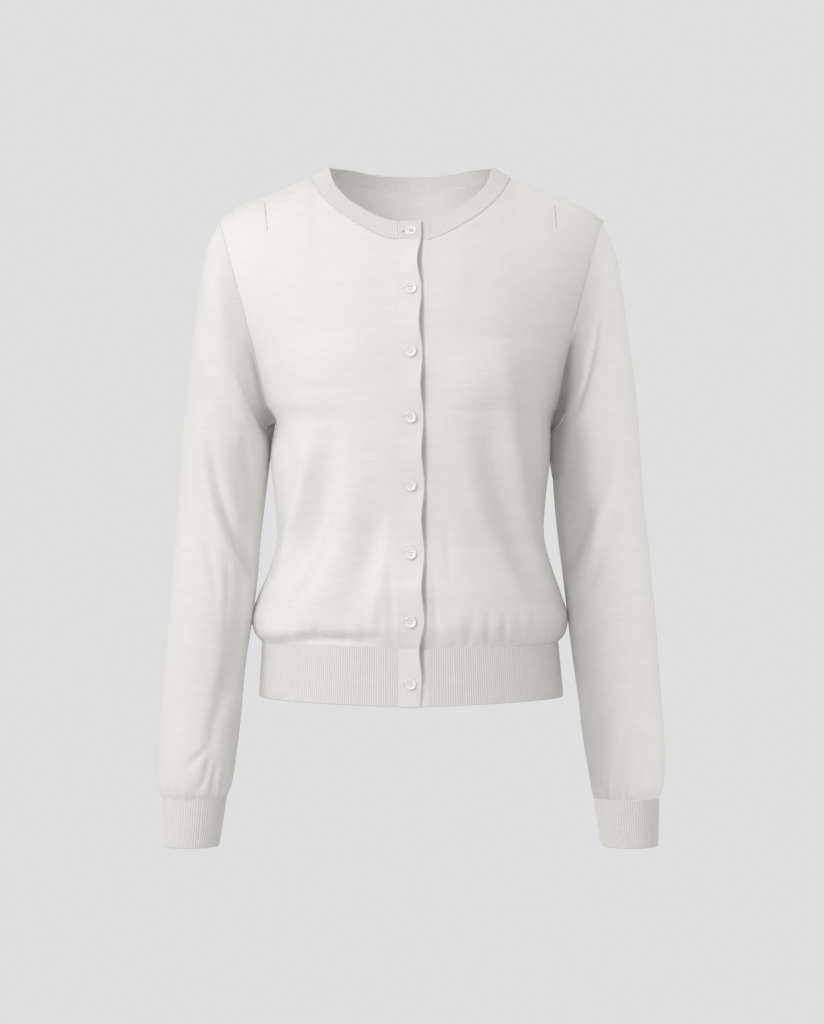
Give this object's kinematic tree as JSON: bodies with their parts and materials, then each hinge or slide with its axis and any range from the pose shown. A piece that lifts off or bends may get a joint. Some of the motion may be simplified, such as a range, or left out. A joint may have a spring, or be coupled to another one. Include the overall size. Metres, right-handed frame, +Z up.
{
  "type": "button cardigan",
  "caption": "Crew-neck, long-sleeved, fine-knit button cardigan in its worn, filled-out form, with ribbed hem, cuffs and neckband.",
  "frame": {"origin": "midway between the two high points where the shoulder seams meet the neckband, where the wearer's shoulders hold it up", "axes": "+Z up, -Y out of the front, -X towards the wearer's right"},
  "size_m": [0.5002, 0.2317, 0.6723],
  "materials": {
    "knit": "fine jersey knit, matte, ivory",
    "rib": "fine rib knit, matte, ivory",
    "button": "pearly white, satin gloss"
  },
  "bodies": {
    "root": {"back": "knit", "front_right": "knit", "front_left": "knit", "sleeve_right": "knit", "sleeve_left": "knit", "band_right": "knit", "band_left": "knit", "cuff_right": "rib", "cuff_left": "rib", "hem_back": "rib", "hem_front_right": "rib", "hem_front_left": "rib", "neckband": "rib", "button_1": "button", "button_2": "button", "button_3": "button", "button_4": "button", "button_5": "button", "button_6": "button", "button_7": "button", "button_8": "button"}
  },
  "joints": []
}
